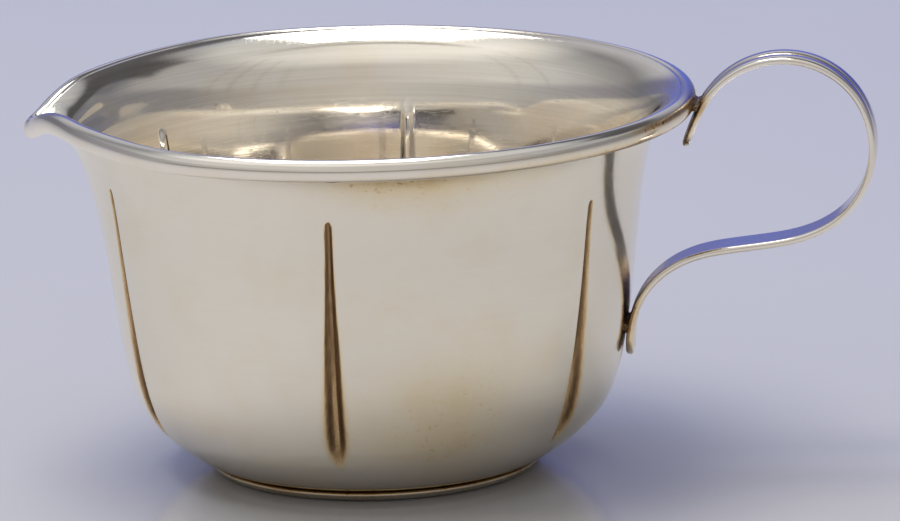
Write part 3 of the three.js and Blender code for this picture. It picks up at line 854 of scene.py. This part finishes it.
def build_world():
    """A tent of pale walls: bright in front and overhead, grey at the sides, blue low down at the back."""
    world = bpy.data.worlds.new("studio")
    bpy.context.scene.world = world
    world.use_nodes = True
    net = Net(world.node_tree)
    out = net.node("ShaderNodeOutputWorld")
    bg = net.node("ShaderNodeBackground")
    net.tree.links.new(bg.outputs[0], out.inputs[0])
    d = net.node("ShaderNodeTexCoord").outputs["Generated"]
    back = net.vmath("DOT_PRODUCT", d, (-math.sin(TURN), math.cos(TURN), 0))
    side = net.vmath("DOT_PRODUCT", d, (math.cos(TURN), math.sin(TURN), 0))
    z = net.vmath("DOT_PRODUCT", d, (0, 0, 1))
    around = net.math("ADD", net.math("MULTIPLY", net.math("ARCTAN2", side, back), 0.5 / math.pi), 0.5)
    high = net.math("MULTIPLY", net.math("ARCSINE", z), 180 / math.pi)
    # every stop: degrees from the back, + towards the handle, then its colour
    round_about = lambda stops: net.ramp(around, [(a / 360 + 0.5, c) for a, *c in stops])
    col = net.mix(net.span(high, 12, 20), round_about(SKIRT), round_about(WALLS))
    col = net.mix(net.span(high, 40, 62), col, round_about(TOP))
    # an opening at the back, seen dark, and seams of the tent in front, seen as faint arches inside the bowl
    degrees = net.math("MULTIPLY", net.math("ARCTAN2", side, back), 180 / math.pi)
    within = lambda x, a, b, c, d: net.math("MULTIPLY", net.span(x, a, b), net.span(x, c, d, 1.0, 0.0))
    opening = net.math("MULTIPLY", within(degrees, -16, -6, 52, 64), within(high, 27, 32, 43, 49))
    opening = net.math("MAXIMUM", opening, net.math("MULTIPLY", within(degrees, 40, 48, 70, 79), within(high, 24, 30, 42, 50)))
    col = net.mix(net.math("MULTIPLY", opening, 0.88), col, (0.075, 0.073, 0.078, 1))
    for at, half, low, top, depth in ((109, 1.6, 11, 64, 0.14), (119, 2.2, 11, 64, 0.18), (131, 1.8, 11, 62, 0.14),
                                      (143, 3.0, 11, 58, 0.08), (-113, 2.0, 11, 60, 0.12), (-98, 1.6, 11, 60, 0.14)):
        seam = net.math("MULTIPLY", within(degrees, at - half, at - 0.3 * half, at + 0.3 * half, at + half),
                        within(high, low, low + 6, top - 8, top))
        col = net.mix(net.math("MULTIPLY", seam, depth), col, (0.12, 0.11, 0.10, 1))
    # the dark line where the table ends in front, and a narrow gap between the two top panels
    facing = net.span(net.math("MULTIPLY", back, -1.0), 0.0, 0.4)
    edge = net.math("MULTIPLY", facing, net.span(high, 1.5, 7.0, 1.0, 0.0))
    col = net.mix(edge, col, (0.24, 0.23, 0.215, 1))
    slope = net.math("DIVIDE", back, net.math("MAXIMUM", z, 0.05))
    gap = net.span(net.math("ABSOLUTE", net.math("ADD", slope, 0.09)), 0.02, 0.07, 1.0, 0.0)
    col = net.mix(net.math("MULTIPLY", gap, net.span(high, 60, 75)), col, (0.50, 0.49, 0.46, 1))
    net.put(bg.inputs["Color"], col)
    bg.inputs["Strength"].default_value = 1.0


def softbox(name, where, size, power, colour, mirrored=True):
    """A panel of light: level and mirrored in the silver, or aimed at the table and not mirrored."""
    light = bpy.data.lights.new(name, "AREA")
    light.shape = "RECTANGLE"
    light.size, light.size_y = size
    light.energy = power
    light.color = colour
    o = bpy.data.objects.new(name, light)
    bpy.context.scene.collection.objects.link(o)
    o.location = where
    o.rotation_euler = (0, 0, TURN) if mirrored else Vector(where).to_track_quat("Z", "Y").to_euler()
    o.visible_camera = False
    o.visible_glossy = mirrored
    return o


TURN = math.radians(5.5)         # the view is turned this far from the handle's plane
build_world()
softbox("softbox_back", (-0.115, 0.512, 1.0), (0.40, 0.85), 3.2, (1.0, 1.0, 1.0))
softbox("softbox_high", (-0.19, -0.03, 0.94), (0.6, 0.5), 5.5, (1.0, 0.905, 0.71), False)
softbox("softbox_side", (-0.50, 0.40, 0.80), (0.5, 0.5), 1.5, (0.06, 0.28, 1.0), False)

# ---------- camera, fitted to the rim and foot ellipses of a 900 x 521 picture ----------
EL, ROLL, DIST = math.radians(13.110), math.radians(-1.307), 1250.82
TARGET = Vector((10.9395, 0.0, 28.5975))
forward = Vector((0, math.cos(EL), -math.sin(EL)))
right, up = Vector((1, 0, 0)), Vector((0, math.sin(EL), math.cos(EL)))
eye = TARGET - forward * DIST
cam_x = right * math.cos(ROLL) + up * math.sin(ROLL)
cam_y = up * math.cos(ROLL) - right * math.sin(ROLL)
swing = Matrix.Rotation(TURN, 3, "Z")
cam_x, cam_y, cam_z = swing @ cam_x, swing @ cam_y, swing @ -forward
eye = swing @ eye + Vector((AXIS_X, 0, 0))
cam = bpy.data.cameras.new("camera")
cam.sensor_fit = "HORIZONTAL"
cam.sensor_width = 36.0
cam.lens = 360.0
cam.clip_start, cam.clip_end = 0.05, 60.0
cam_o = bpy.data.objects.new("camera", cam)
bpy.context.scene.collection.objects.link(cam_o)
cam_o.matrix_world = Matrix((
    (cam_x[0], cam_y[0], cam_z[0], eye[0] * MM),
    (cam_x[1], cam_y[1], cam_z[1], eye[1] * MM),
    (cam_x[2], cam_y[2], cam_z[2], eye[2] * MM),
    (0, 0, 0, 1),
))
bpy.context.scene.camera = cam_o
bpy.context.scene.view_settings.view_transform = "Standard"
bpy.context.scene.view_settings.look = "None"
